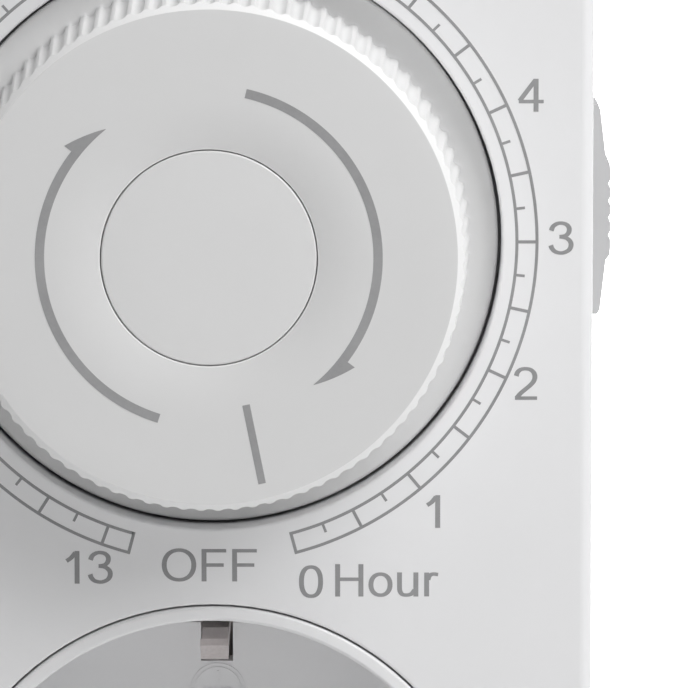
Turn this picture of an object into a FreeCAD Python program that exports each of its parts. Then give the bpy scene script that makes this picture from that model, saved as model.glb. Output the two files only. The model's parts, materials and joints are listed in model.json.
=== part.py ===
import FreeCAD, Part
import Sketcher
import math
import os

# Plug in countdown timer switch: a wall-plug box with a large rotary knob above
# a round earthed socket. Millimetres. +Z up, +X to the right seen from the
# front, +Y into the wall. The origin is the centre of the plug's end face,
# midway between the pins; the plug and the socket share the Y axis.

os.makedirs("parts", exist_ok=True)
doc = FreeCAD.newDocument("timer_switch")
V = FreeCAD.Vector

# ---------------------------------------------------------------- dimensions
sheet = doc.addObject("Spreadsheet::Sheet", "Sheet")
CELLS = [
    ("case_width", 57.0), ("case_height", 109.0), ("case_top", 80.5),
    ("case_corner", 7.0), ("case_wall", 2.0), ("front_edge_round", 0.9),
    ("back_edge_round", 1.2), ("panel_plane", -56.0), ("back_plane", -18.0),
    ("split_plane", -29.0), ("lip_height", 2.0), ("lip_wall", 0.9),
    ("knob_axis_height", 48.7), ("well_radius", 21.7), ("well_depth", 5.0),
    ("well_floor", 1.0), ("well_wall", 1.5), ("well_bore", 3.4),
    ("flange_radius", 21.44), ("flange_top", -53.5), ("flange_thick", 1.5),
    ("knob_base_radius", 19.3), ("knob_face_radius", 18.62), ("knob_face", -66.7),
    ("knob_shell", 1.8), ("knob_hub", 4.6), ("knob_bevel", 0.45),
    ("flute_radius", 0.5), ("flute_count", 90), ("flute_offset", 0.17),
    ("cap_radius", 7.89), ("cap_seam", 0.1), ("cap_thick", 1.5),
    ("shaft_radius", 2.5), ("bush_bore", 2.56), ("shaft_journal", 1.5),
    ("socket_hole", 21.25), ("rim_radius", 21.1), ("socket_bore", 20.0),
    ("socket_depth", 17.5), ("socket_floor", 2.5), ("socket_flange", 22.9),
    ("pin_spacing", 19.0), ("pin_hole_radius", 2.75), ("pin_radius", 2.4),
    ("pin_length", 19.0), ("pin_neck", 2.2), ("pin_tip_round", 1.2),
    ("plug_radius", 18.5), ("plug_face_thick", 4.0), ("plug_wall", 2.2),
    ("boss_radius", 3.0), ("boss_pilot", 1.1), ("screw_radius", 1.25),
    ("boss_side", 23.3), ("boss_top", 75.6), ("boss_bottom", -23.6),
    ("clip_width", 2.1), ("strip_width", 4.4), ("strip_thick", 0.8),
    ("gear_module", 0.6), ("dial_teeth", 50), ("pinion_teeth", 10),
    ("wheel_teeth", 30), ("plate_thick", 1.0), ("front_plate", -48.5),
    ("rear_plate", -23.0), ("arbor_radius", 1.0), ("pivot_radius", 0.6),
    ("pivot_hole", 0.64), ("pillar_radius", 1.8), ("pillar_bore", 1.05),
    ("motor_radius", 11.0), ("motor_length", 11.5), ("motor_back", -28.5),
    ("cam_radius", 12.0), ("cam_thick", 2.5), ("cam_back", -25.5),
    ("button_length", 16.2), ("button_width", 7.0), ("button_height", 30.45),
    ("button_centre", 49.3), ("button_depth", -35.7),
]
P = {}
for row, (alias, number) in enumerate(CELLS, start=1):
    sheet.set("A%d" % row, alias)
    sheet.set("B%d" % row, "%g" % number)
    sheet.setAlias("B%d" % row, alias)
    P[alias] = float(number)
doc.recompute()


class Dim:
    """A size that carries both its number and the sheet formula it comes from."""

    def __init__(self, value, text):
        self.value, self.text = float(value), text

    def __add__(self, o):
        o = dim(o)
        return Dim(self.value + o.value, "(%s + %s)" % (self.text, o.text))

    def __radd__(self, o):
        return dim(o) + self

    def __sub__(self, o):
        o = dim(o)
        return Dim(self.value - o.value, "(%s - %s)" % (self.text, o.text))

    def __rsub__(self, o):
        return dim(o) - self

    def __mul__(self, o):
        o = dim(o)
        return Dim(self.value * o.value, "(%s * %s)" % (self.text, o.text))

    def __rmul__(self, o):
        return dim(o) * self

    def __truediv__(self, o):
        o = dim(o)
        return Dim(self.value / o.value, "(%s / %s)" % (self.text, o.text))

    def __neg__(self):
        return Dim(-self.value, "(0 - %s)" % self.text)


def dim(x):
    if isinstance(x, Dim):
        return x
    return Dim(x, "(%.6f)" % x if x < 0 else "%.6f" % x)


def D(alias):
    return Dim(P[alias], "Sheet.%s" % alias)


def bind(obj, prop, d):
    d = dim(d)
    obj.setExpression(prop, d.text)


# ---------------------------------------------------------- sketch helpers
def plane_of(body, role):
    for f in body.Origin.OriginFeatures:
        if f.Role == role:
            return f
    raise RuntimeError("no plane " + role)


def new_body(label):
    body = doc.addObject("PartDesign::Body", "Body_" + label)
    body.Label = label
    return body


def sketch(body, name, offset=0.0, role="XZ_Plane"):
    """A sketch facing the front (X right, Z up) at depth y = offset."""
    sk = body.newObject("Sketcher::SketchObject", name)
    sk.AttachmentSupport = [(plane_of(body, role), "")]
    sk.MapMode = "FlatFace"
    offset = dim(offset)
    sign = -1.0 if role == "XZ_Plane" else 1.0
    sk.AttachmentOffset = FreeCAD.Placement(V(0, 0, sign * offset.value), FreeCAD.Rotation())
    if offset.value:
        bind(sk, "AttachmentOffset.Base.z", offset * sign)
    return sk


def hold_point(sk, geo, pos, x, y):
    """Fix a point of the sketch at x, y, each tied to the sheet."""
    x, y = dim(x), dim(y)
    if x.value == 0 and y.value == 0:
        sk.addConstraint(Sketcher.Constraint("Coincident", geo, pos, -1, 1))
        return
    for axis, kind, other, d in ((0, "DistanceX", -2, x), (1, "DistanceY", -1, y)):
        if d.value == 0:
            sk.addConstraint(Sketcher.Constraint("PointOnObject", geo, pos, other))
            continue
        if d.value > 0:
            i = sk.addConstraint(Sketcher.Constraint(kind, -1, 1, geo, pos, d.value))
            e = d
        else:
            i = sk.addConstraint(Sketcher.Constraint(kind, geo, pos, -1, 1, -d.value))
            e = -d
        name = "p%d" % i
        sk.renameConstraint(i, name)
        bind(sk, "Constraints." + name, e)


def add_circle(sk, x, y, r):
    x, y, r = dim(x), dim(y), dim(r)
    g = sk.addGeometry(Part.Circle(V(x.value, y.value, 0), V(0, 0, 1), r.value), False)
    i = sk.addConstraint(Sketcher.Constraint("Radius", g, r.value))
    sk.renameConstraint(i, "r%d" % i)
    bind(sk, "Constraints.r%d" % i, r)
    hold_point(sk, g, 3, x, y)
    return g


def add_poly(sk, points):
    """A closed outline whose every corner is tied to the sheet."""
    n = len(points)
    pts = [(dim(a), dim(b)) for a, b in points]
    first = None
    ids = []
    for k in range(n):
        a, b = pts[k], pts[(k + 1) % n]
        ids.append(
            sk.addGeometry(
                Part.LineSegment(V(a[0].value, a[1].value, 0), V(b[0].value, b[1].value, 0)),
                False,
            )
        )
    for k in range(n):
        sk.addConstraint(Sketcher.Constraint("Coincident", ids[k], 2, ids[(k + 1) % n], 1))
    for k in range(n):
        hold_point(sk, ids[k], 1, pts[k][0], pts[k][1])
    return ids


def add_rect(sk, x0, y0, x1, y1):
    return add_poly(sk, [(x0, y0), (x1, y0), (x1, y1), (x0, y1)])


def pad(body, sk, length, towards_wall=False, name="Pad"):
    p = body.newObject("PartDesign::Pad", name)
    p.Profile = sk
    length = dim(length)
    p.Length = length.value
    bind(p, "Length", length)
    p.Reversed = bool(towards_wall)
    return p


def pocket(body, sk, length, towards_wall=True, name="Pocket"):
    """Cut from the sketch's plane, into the wall side or out to the front."""
    p = body.newObject("PartDesign::Pocket", name)
    p.Profile = sk
    length = dim(length)
    p.Length = length.value
    bind(p, "Length", length)
    p.Reversed = not bool(towards_wall)
    return p


def checked_cut(body, feature, least=0.01):
    """A cut that misses its solid is an error here."""
    doc.recompute()
    before = feature.BaseFeature.Shape.Volume
    if feature.Shape.Volume > before - least:
        raise RuntimeError("cut takes nothing away: " + feature.Name)
    return feature


def edges_where(shape, test):
    names = []
    for i, e in enumerate(shape.Edges, start=1):
        if test(e):
            names.append("Edge%d" % i)
    return names


def dress(body, kind, size, test, name):
    doc.recompute()
    base = body.Tip
    names = edges_where(base.Shape, test)
    if not names:
        raise RuntimeError("no edges for " + name)
    f = body.newObject("PartDesign::" + kind, name)
    f.Base = (base, names)
    size = dim(size)
    prop = "Radius" if kind == "Fillet" else "Size"
    setattr(f, prop, size.value)
    bind(f, prop, size)
    doc.recompute()
    return f


def box_y(e):
    b = e.BoundBox
    return b.YMin, b.YMax


# --------------------------------------------------- primitive helpers
def cylinder_y(label, x, z, y0, y1, r, visible_label=None):
    """A cylinder along Y from y0 to y1."""
    o = doc.addObject("Part::Cylinder", label)
    x, z, y0, y1, r = dim(x), dim(z), dim(y0), dim(y1), dim(r)
    o.Placement = FreeCAD.Placement(V(x.value, y0.value, z.value), FreeCAD.Rotation(V(1, 0, 0), -90))
    o.Radius, o.Height = r.value, (y1 - y0).value
    bind(o, "Radius", r)
    bind(o, "Height", y1 - y0)
    bind(o, "Placement.Base.x", x)
    bind(o, "Placement.Base.y", y0)
    bind(o, "Placement.Base.z", z)
    return o


def block(label, x0, x1, y0, y1, z0, z1):
    o = doc.addObject("Part::Box", label)
    x0, x1, y0, y1, z0, z1 = [dim(q) for q in (x0, x1, y0, y1, z0, z1)]
    o.Length, o.Width, o.Height = (x1 - x0).value, (y1 - y0).value, (z1 - z0).value
    bind(o, "Length", x1 - x0)
    bind(o, "Width", y1 - y0)
    bind(o, "Height", z1 - z0)
    o.Placement = FreeCAD.Placement(V(x0.value, y0.value, z0.value), FreeCAD.Rotation())
    bind(o, "Placement.Base.x", x0)
    bind(o, "Placement.Base.y", y0)
    bind(o, "Placement.Base.z", z0)
    return o


def fuse(label, *items):
    o = doc.addObject("Part::MultiFuse", label)
    o.Shapes = list(items)
    return o


def cut(label, base, *tools):
    tool = tools[0]
    if len(tools) > 1:
        tool = fuse(label + "_tools", *tools)
    o = doc.addObject("Part::Cut", label)
    o.Base, o.Tool = base, tool
    return o


def group(label, *items):
    """Identical loose pieces that share one node."""
    o = doc.addObject("Part::Compound", label)
    o.Links = list(items)
    return o


NODES = {}


def node(name, obj):
    obj.Label = name
    NODES[name] = obj
    return obj


half_w = D("case_width") / 2
top = D("case_top")
bottom = D("case_top") - D("case_height")
wall = D("case_wall")
panel = D("panel_plane")
back = D("back_plane")
split = D("split_plane")
axis_z = D("knob_axis_height")
pin_x = D("pin_spacing") / 2
well_floor_front = panel + D("well_depth")
well_floor_back = well_floor_front + D("well_floor")
socket_floor_front = panel + D("socket_depth")
socket_floor_back = socket_floor_front + D("socket_floor")
BOSSES = [
    (-D("boss_side"), D("boss_top")), (D("boss_side"), D("boss_top")),
    (-D("boss_side"), D("boss_bottom")), (D("boss_side"), D("boss_bottom")),
]
STAND = [(-21.0, 34.0), (21.0, 34.0), (-16.0, 75.0), (16.0, 75.0)]


def add_round_rect(sk, x0, y0, x1, y1, r):
    """A rectangle with round corners; its sides and radius are tied to the sheet."""
    x0, y0, x1, y1, r = [dim(q) for q in (x0, y0, x1, y1, r)]
    a, c, e, f, q = x0.value, y0.value, x1.value, y1.value, r.value
    lines = [((a + q, c), (e - q, c)), ((e, c + q), (e, f - q)), ((e - q, f), (a + q, f)), ((a, f - q), (a, c + q))]
    arcs = [((e - q, c + q), -90), ((e - q, f - q), 0), ((a + q, f - q), 90), ((a + q, c + q), 180)]
    gl, ga = [], []
    for p0, p1 in lines:
        gl.append(sk.addGeometry(Part.LineSegment(V(p0[0], p0[1], 0), V(p1[0], p1[1], 0)), False))
    for cc, start in arcs:
        circle = Part.Circle(V(cc[0], cc[1], 0), V(0, 0, 1), q)
        ga.append(sk.addGeometry(
            Part.ArcOfCircle(circle, math.radians(start), math.radians(start + 90)), False))
    for k in range(4):
        sk.addConstraint(Sketcher.Constraint("Tangent", gl[k], 2, ga[k], 1))
        sk.addConstraint(Sketcher.Constraint("Tangent", ga[k], 2, gl[(k + 1) % 4], 1))
    for k in (0, 2):
        sk.addConstraint(Sketcher.Constraint("Horizontal", gl[k]))
        sk.addConstraint(Sketcher.Constraint("Vertical", gl[k + 1]))
    for k in (1, 2, 3):
        sk.addConstraint(Sketcher.Constraint("Equal", ga[0], ga[k]))
    i = sk.addConstraint(Sketcher.Constraint("Radius", ga[0], q))
    sk.renameConstraint(i, "corner")
    bind(sk, "Constraints.corner", r)
    for g, kind, d, name in ((gl[0], "DistanceY", y0, "low"), (gl[2], "DistanceY", y1, "high"),
                             (gl[3], "DistanceX", x0, "left"), (gl[1], "DistanceX", x1, "right")):
        if d.value > 0:
            i = sk.addConstraint(Sketcher.Constraint(kind, -1, 1, g, 1, d.value))
            w = d
        else:
            i = sk.addConstraint(Sketcher.Constraint(kind, g, 1, -1, 1, -d.value))
            w = -d
        sk.renameConstraint(i, name)
        bind(sk, "Constraints." + name, w)


def rounded_outline(body, name, offset, inset):
    """The case outline with its round corners, inset by a distance."""
    sk = sketch(body, name, offset)
    inset = dim(inset)
    add_round_rect(sk, -(half_w - inset), bottom + inset, half_w - inset, top - inset,
                   D("case_corner") - inset)
    return sk


# ============================================================== front_cover
b = new_body("front_cover")
pad(b, rounded_outline(b, "FrontOuter", split, dim(0.0)), split - panel, name="FrontBlock")
dress(b, "Fillet", D("front_edge_round"),
      lambda e: abs(box_y(e)[0] - panel.value) < 1e-4 and abs(box_y(e)[1] - panel.value) < 1e-4,
      "FrontEdgeRound")
cav = pocket(b, rounded_outline(b, "FrontInner", split, wall), split - panel - wall,
             towards_wall=False, name="FrontCavity")
checked_cut(b, cav)
# the knob's well behind the panel, and the posts
sk = sketch(b, "WellCup", panel + 1.0)
add_circle(sk, 0, axis_z, D("well_radius") + D("well_wall"))
pad(b, sk, well_floor_back - panel - 1.0, towards_wall=True, name="WellCupPad")
sk = sketch(b, "FrontPosts", panel + 1.0)
for x, z in BOSSES:
    add_circle(sk, x, z, D("boss_radius"))
pad(b, sk, split - panel - 1.0 + 0.0, towards_wall=True, name="FrontPostPad")
sk = sketch(b, "StandOffs", panel + 1.0)
for x, z in STAND:
    add_circle(sk, x, z, 2.4)
pad(b, sk, D("front_plate") - panel - 1.0, towards_wall=True, name="StandOffPad")
# two ribs that hold the slide switch's detent spring
sk = sketch(b, "SliderRibs", dim(-42.5))
add_rect(sk, 22.4, 37.6, half_w - wall + 0.5, 38.8)
add_rect(sk, 22.4, 62.4, half_w - wall + 0.5, 63.6)
pad(b, sk, 9.0, towards_wall=True, name="SliderRibPad")
# the rebate that takes the back shell's lip
reb = pocket(b, rounded_outline(b, "FrontRebate", split, wall - D("lip_wall") - 0.1),
             D("lip_height") + 0.2, towards_wall=False, name="FrontLipRebate")
checked_cut(b, reb)
sk = sketch(b, "WellHole", panel - 0.5)
add_circle(sk, 0, axis_z, D("well_radius"))
checked_cut(b, pocket(b, sk, D("well_depth") + 0.5, towards_wall=True, name="WellPocket"))
sk = sketch(b, "WellBore", panel - 0.5)
add_circle(sk, 0, axis_z, D("well_bore"))
checked_cut(b, pocket(b, sk, D("well_depth") + 3.0, towards_wall=True, name="WellBorePocket"))
sk = sketch(b, "SocketHole", panel - 0.5)
add_circle(sk, 0, 0, D("socket_hole"))
checked_cut(b, pocket(b, sk, 4.0, towards_wall=True, name="SocketHolePocket"))
sk = sketch(b, "FrontPilots", split)
for x, z in BOSSES:
    add_circle(sk, x, z, D("boss_pilot"))
checked_cut(b, pocket(b, sk, 22.0, towards_wall=False, name="FrontPilotPocket"))
sk = sketch(b, "StandPilots", D("front_plate"))
for x, z in STAND:
    add_circle(sk, x, z, 0.95)
checked_cut(b, pocket(b, sk, 5.0, towards_wall=False, name="StandPilotPocket"))
# the slot in the right-hand wall for the slide switch
sk = sketch(b, "SliderSlot", D("button_depth") - 1.6)
add_rect(sk, half_w - wall - 1.0, D("button_centre") - 7.2, half_w + 1.0, D("button_centre") + 3.2)
checked_cut(b, pocket(b, sk, 3.2, towards_wall=True, name="SliderSlotPocket"))
dress(b, "Fillet", 0.22,
      lambda e: abs(box_y(e)[0] - panel.value) < 1e-4 and abs(box_y(e)[1] - panel.value) < 1e-4
      and e.Curve.TypeId == "Part::GeomCircle" and e.Curve.Radius > 15, "PanelHoleRound")
node("front_cover", b)

# =============================================================== rear_cover
b = new_body("rear_cover")
pad(b, rounded_outline(b, "RearOuter", back, dim(0.0)), back - split, name="RearBlock")
dress(b, "Fillet", D("back_edge_round"),
      lambda e: abs(box_y(e)[0] - back.value) < 1e-4 and abs(box_y(e)[1] - back.value) < 1e-4,
      "RearEdgeRound")
# the lip that stands into the front shell
pad(b, rounded_outline(b, "RearLip", split, wall - D("lip_wall")), D("lip_height"), name="RearLipPad")
cav = pocket(b, rounded_outline(b, "RearInner", split - D("lip_height"), wall),
             back - split + D("lip_height") - wall, towards_wall=True, name="RearCavity")
checked_cut(b, cav)
# the plug body
sk = sketch(b, "PlugDisc", back - 1.0)
add_circle(sk, 0, 0, D("plug_radius"))
pad(b, sk, -back + 1.0, towards_wall=True, name="PlugPad")
dress(b, "Fillet", 1.0,
      lambda e: abs(box_y(e)[0]) < 1e-4 and abs(box_y(e)[1]) < 1e-4, "PlugEdgeRound")
sk = sketch(b, "PlugHollow", back - wall - 0.5)
add_circle(sk, 0, 0, D("plug_radius") - D("plug_wall") - 1.6)
checked_cut(b, pocket(b, sk, -back + wall + 0.5 - D("plug_face_thick"), towards_wall=True,
                      name="PlugHollowPocket"))
# top and bottom grooves for the earth strips, and the guide grooves at the sides
sk = sketch(b, "EarthGrooves", dim(2.0))
for s in (1, -1):
    add_rect(sk, -2.9, s * 16.0, 2.9, s * 19.5)
checked_cut(b, pocket(b, sk, 2.0 - back, towards_wall=False, name="EarthGroovePocket"))
# the straight run of each earth strip goes through the back plate in its own slot
sk = sketch(b, "StripSlots", back + 0.5)
for s in (1, -1):
    add_rect(sk, -2.4, s * 16.2, 2.4, s * 17.8)
checked_cut(b, pocket(b, sk, wall + 1.0, towards_wall=False, name="StripSlotPocket"))
sk = sketch(b, "GuideGrooves", dim(1.0))
for s in (1, -1):
    add_rect(sk, s * 17.4, -2.6, s * 19.5, 2.6)
checked_cut(b, pocket(b, sk, 1.0 - back, towards_wall=False, name="GuideGroovePocket"))
sk = sketch(b, "PinHoles", dim(1.0))
for s in (1, -1):
    add_circle(sk, s * pin_x, 0, D("pin_radius"))
checked_cut(b, pocket(b, sk, D("plug_face_thick") + 2.0, towards_wall=False, name="PinHolePocket"))
# screw tubes and their counterbores
sk = sketch(b, "RearTubes", back - 1.0)
for x, z in BOSSES:
    add_circle(sk, x, z, D("boss_radius"))
pad(b, sk, back - 1.0 - split + D("lip_height") + 0.1, name="RearTubePad")
sk = sketch(b, "RearScrewHoles", back + 1.0)
for x, z in BOSSES:
    add_circle(sk, x, z, D("screw_radius") + 0.25)
checked_cut(b, pocket(b, sk, 1.0 + back - split + 4.0, towards_wall=False, name="RearScrewPocket"))
sk = sketch(b, "RearCounterbores", back + 1.0)
for x, z in BOSSES:
    add_circle(sk, x, z, 2.5)
checked_cut(b, pocket(b, sk, 6.0, towards_wall=False, name="RearCounterborePocket"))
node("rear_cover", b)

# ============================================================ socket_insert
b = new_body("socket_insert")
sk = sketch(b, "CupDisc", panel)
add_circle(sk, 0, 0, D("rim_radius"))
pad(b, sk, D("socket_depth") + D("socket_floor"), towards_wall=True, name="CupPad")
sk = sketch(b, "CupFlange", panel + wall + 0.05)
add_circle(sk, 0, 0, D("socket_flange"))
pad(b, sk, 1.4, towards_wall=True, name="CupFlangePad")
sk = sketch(b, "CupBore", panel - 0.5)
add_circle(sk, 0, 0, D("socket_bore"))
checked_cut(b, pocket(b, sk, D("socket_depth") + 0.5, towards_wall=True, name="CupBorePocket"))
# guide ribs left and right
sk = sketch(b, "CupRibs", panel + 3.0)
for s in (1, -1):
    add_rect(sk, s * 17.7, -2.2, s * 20.6, 2.2)
pad(b, sk, D("socket_depth") - 3.0 + 0.5, towards_wall=True, name="CupRibPad")
sk = sketch(b, "CupPinHoles", panel - 0.5)
for s in (1, -1):
    add_circle(sk, s * pin_x, 0, D("pin_hole_radius"))
checked_cut(b, pocket(b, sk, 30.0, towards_wall=True, name="CupPinPocket"))
# each clip's narrow slot in the floor, and the wider notch behind it in the wall
sk = sketch(b, "ClipSlotNarrow", socket_floor_front - 0.5)
for s in (1, -1):
    add_rect(sk, -1.25, s * 13.9, 1.25, s * 18.0)
checked_cut(b, pocket(b, sk, 6.0, towards_wall=True, name="ClipSlotNarrowPocket"))
sk = sketch(b, "ClipSlotWide", panel + 4.0)
for s in (1, -1):
    add_rect(sk, -2.55, s * 16.95, 2.55, s * 20.6)
checked_cut(b, pocket(b, sk, 22.0, towards_wall=True, name="ClipSlotWidePocket"))
dress(b, "Fillet", 0.25,
      lambda e: abs(box_y(e)[0] - panel.value) < 1e-4 and abs(box_y(e)[1] - panel.value) < 1e-4,
      "RimRound")
node("socket_insert", b)

# ============================================================== plug pins
for name, s in (("plug_pin_line", 1), ("plug_pin_neutral", -1)):
    b = new_body(name)
    x = s * pin_x
    sk = sketch(b, "PinBar_" + name, dim(0.0))
    add_circle(sk, x, 0, D("pin_radius"))
    pad(b, sk, D("pin_length"), towards_wall=True, name="PinBarPad_" + name)
    dress(b, "Fillet", D("pin_tip_round"),
          lambda e: abs(box_y(e)[0] - P["pin_length"]) < 1e-4 and abs(box_y(e)[1] - P["pin_length"]) < 1e-4,
          "PinTip_" + name)
    sk = sketch(b, "PinNeck_" + name, dim(0.0))
    add_circle(sk, x, 0, D("pin_neck"))
    pad(b, sk, D("plug_face_thick"), name="PinNeckPad_" + name)
    sk = sketch(b, "PinCollar_" + name, -D("plug_face_thick"))
    add_circle(sk, x, 0, 3.6)
    pad(b, sk, 2.0, name="PinCollarPad_" + name)
    sk = sketch(b, "PinStem_" + name, -D("plug_face_thick") - 2.0)
    add_circle(sk, x, 0, 1.7)
    pad(b, sk, (-D("plug_face_thick") - 2.0) - (-22.8), name="PinStemPad_" + name)
    node(name, b)

# ============================================================ earth contacts
def strip(label, s):
    """One earth strip: plug side contact, straight run, socket clip. s is +1 or -1."""
    th = D("strip_thick")
    w = D("strip_width") / 2
    c = D("clip_width") / 2
    z0 = 16.6
    main = block(label + "_run", -w, w, -35.8, -3.0, *((dim(z0), z0 + th) if s > 0 else (-(z0 + th), dim(-z0))))
    tip = block(label + "_tip", -w, w, -3.2, -2.0, *((dim(16.05), z0 + th) if s > 0 else (-(z0 + th), dim(-16.05))))
    # the narrow springy clip in the socket, bent in towards the plug and back out
    outline = [(-37.5, 16.6), (-37.5, 17.4), (-43.5, 17.4), (-47.2, 16.55), (-49.8, 17.6),
               (-50.6, 17.2), (-47.4, 15.6), (-43.3, 16.6)]
    b = new_body(label + "_clip")
    sk = b.newObject("Sketcher::SketchObject", label + "_clip_profile")
    sk.AttachmentSupport = [(plane_of(b, "YZ_Plane"), "")]
    sk.MapMode = "FlatFace"
    add_poly(sk, [(y, s * z) for y, z in outline])
    p = b.newObject("PartDesign::Pad", label + "_clip_pad")
    p.Profile = sk
    p.Length = 2 * c.value
    bind(p, "Length", 2 * c)
    p.Midplane = True
    link = block(label + "_link", -c, c, -38.0, -35.6, *((dim(z0), z0 + th) if s > 0 else (-(z0 + th), dim(-z0))))
    return fuse(label, main, tip, b, link)


node("earth_strip_upper", strip("earth_strip_upper", 1))
node("earth_strip_lower", strip("earth_strip_lower", -1))
web = block("bridge_web", -2.2, 2.2, -28.6, -27.8, -16.6, 16.6)
tab1 = block("bridge_tab_top", -2.2, 2.2, -28.6, -25.0, 15.8, 16.6)
tab2 = block("bridge_tab_bottom", -2.2, 2.2, -28.6, -25.0, -16.6, -15.8)
node("earth_bridge", fuse("earth_bridge", web, tab1, tab2))

# ======================================================= current-carrying parts
for name, s in (("contact_tulip_line", 1), ("contact_tulip_neutral", -1)):
    x = s * pin_x
    tube = cylinder_y(name + "_tube", x, 0, -35.4, -26.5, 3.3)
    bore = cylinder_y(name + "_bore", x, 0, -36.0, -27.5, 2.32)
    slit1 = block(name + "_slit1", x - 4.0, x + 4.0, -36.0, -29.0, -0.35, 0.35)
    slit2 = block(name + "_slit2", x - 0.35, x + 0.35, -36.0, -29.0, -4.0, 4.0)
    node(name, cut(name, tube, bore, slit1, slit2))

# neutral: one bar from the pin's stem to the neutral contact, with the motor lead's post
bar = block("nb_plate", -pin_x - 3.4, -pin_x + 3.4, -26.5, -22.8, -3.0, 3.0)
post = block("nb_post", -15.6, -pin_x - 3.0, -26.5, -25.7, 1.0, 6.0)
post2 = block("nb_post2", -15.6, -12.4, -31.0, -25.7, 2.6, 6.0)
node("neutral_busbar", fuse("neutral_busbar", bar, post, post2))

# line in: from the pin up to the fixed contact's shelf
up = block("li_up", pin_x - 2.5, pin_x + 2.5, -23.6, -22.8, -3.4, 26.1)
shelf = block("li_shelf", pin_x - 2.5, pin_x + 2.5, -28.2, -22.8, 25.5, 26.1)
node("line_inlet_strip", fuse("line_inlet_strip", up, shelf))

def rivet(label, x, y, z0, z1, r):
    o = doc.addObject("Part::Cylinder", label)
    x, y, z0, z1, r = [dim(q) for q in (x, y, z0, z1, r)]
    o.Radius, o.Height = r.value, (z1 - z0).value
    bind(o, "Radius", r)
    bind(o, "Height", z1 - z0)
    o.Placement = FreeCAD.Placement(V(x.value, y.value, z0.value), FreeCAD.Rotation())
    bind(o, "Placement.Base.x", x)
    bind(o, "Placement.Base.y", y)
    bind(o, "Placement.Base.z", z0)
    return o


node("fixed_contact_rivet", rivet("fixed_contact_rivet", pin_x, -26.2, 26.1, 27.1, 1.6))
# line out: from the line contact across and up beside the blade, with the motor lead's post
cross = block("lo_cross", pin_x - 3.0, 18.0, -26.5, -25.7, -2.6, 2.6)
rise = block("lo_rise", 14.0, 18.0, -26.5, -25.7, -2.6, 28.6)
anchor = block("lo_anchor", 16.6, 18.4, -28.2, -25.7, 26.6, 28.6)
lpost = block("lo_post", 14.4, 17.6, -33.2, -26.0, 18.0, 21.0)
node("line_outlet_strip", fuse("line_outlet_strip", cross, rise, anchor, lpost))
blade = block("blade_leaf", 6.2, 16.9, -28.0, -24.4, 29.0, 29.3)
root_end = block("blade_root", 16.6, 18.4, -28.0, -24.4, 28.8, 29.3)
node("moving_contact_blade", fuse("moving_contact_blade", blade, root_end))
node("moving_contact_rivet", rivet("moving_contact_rivet", pin_x, -26.2, 28.2, 29.0, 1.5))

# ============================================================ switch lever
LEVER_X, LEVER_Z = -12.0, 32.6
b = new_body("switch_lever")
sk = sketch(b, "LeverOutline", dim(-25.6))
add_poly(sk, [(-13.4, 31.2), (-1.6, 32.2), (6.0, 30.6), (8.4, 29.55), (9.6, 29.55), (10.2, 30.4), (10.2, 31.6),
              (2.2, 34.2), (1.2, 36.3), (-1.2, 36.3), (-2.2, 34.6), (-13.4, 34.2)])
pad(b, sk, 2.2, name="LeverPad")
sk = sketch(b, "LeverBore", dim(-25.0))
add_circle(sk, LEVER_X, LEVER_Z, 1.06)
checked_cut(b, pocket(b, sk, 4.0, towards_wall=False, name="LeverBorePocket"))
node("switch_lever", b)
# ===================================================================== gears
M = P["gear_module"]
ALPHA = math.radians(25.0)
ADD, DED, BACKLASH = 0.72, 0.95, 0.09


def flank_points(teeth):
    """One tooth's outline, centred on the +X direction, from an involute."""
    rp = M * teeth / 2
    rb = rp * math.cos(ALPHA)
    ra = rp + ADD * M
    rr = rp - DED * M
    inv = lambda a: math.tan(a) - a
    half = math.pi / (2 * teeth) - BACKLASH / (2 * rp) + inv(ALPHA)
    lo = max(rb, rr) + 1e-4
    right = []
    for k in range(5):
        r = lo + (ra - lo) * k / 4.0
        a = math.acos(min(1.0, rb / r))
        t = half - inv(a)
        right.append((r, t))
    foot = rr - 0.12
    upper = [(foot * math.cos(right[0][1]), foot * math.sin(right[0][1]))]
    upper += [(r * math.cos(t), r * math.sin(t)) for r, t in right]
    lower = [(x, -y) for x, y in reversed(upper)]
    return upper + lower, rr


def gear_bodies(label, cx, cz, teeth_cell, y0, y1, phase, bore):
    """A gear from y0 to y1 whose first tooth points at the angle phase."""
    teeth = int(P[teeth_cell])
    pts, rr = flank_points(teeth)
    b = new_body(label)
    sk = sketch(b, label + "_disc", dim(y1))
    add_circle(sk, 0, 0, D("gear_module") * (D(teeth_cell) / 2 - DED))
    pad(b, sk, dim(y1) - dim(y0), name=label + "_disc_pad")
    sk = sketch(b, label + "_tooth", dim(y1))
    n = len(pts)
    for k in range(n):
        a, c = pts[k], pts[(k + 1) % n]
        sk.addGeometry(Part.LineSegment(V(a[0], a[1], 0), V(c[0], c[1], 0)), False)
    for k in range(n):
        sk.addConstraint(Sketcher.Constraint("Coincident", k, 2, (k + 1) % n, 1))
        sk.addConstraint(Sketcher.Constraint("Block", k))
    tooth = pad(b, sk, dim(y1) - dim(y0), name=label + "_tooth_pad")
    doc.recompute()
    pol = b.newObject("PartDesign::PolarPattern", label + "_teeth")
    pol.Originals = [tooth]
    pol.Axis = (plane_of(b, "Y_Axis"), [""])
    pol.Angle = 360
    pol.Occurrences = teeth
    b.Tip = pol
    doc.recompute()
    sk = sketch(b, label + "_bore", dim(y0 - 1.0))
    add_circle(sk, 0, 0, bore)
    checked_cut(b, pocket(b, sk, y1 - y0 + 2.0, towards_wall=True, name=label + "_bore_pocket"))
    b.Placement = FreeCAD.Placement(V(cx, 0, cz), FreeCAD.Rotation(V(0, 1, 0), -math.degrees(phase)))
    return b


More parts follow.
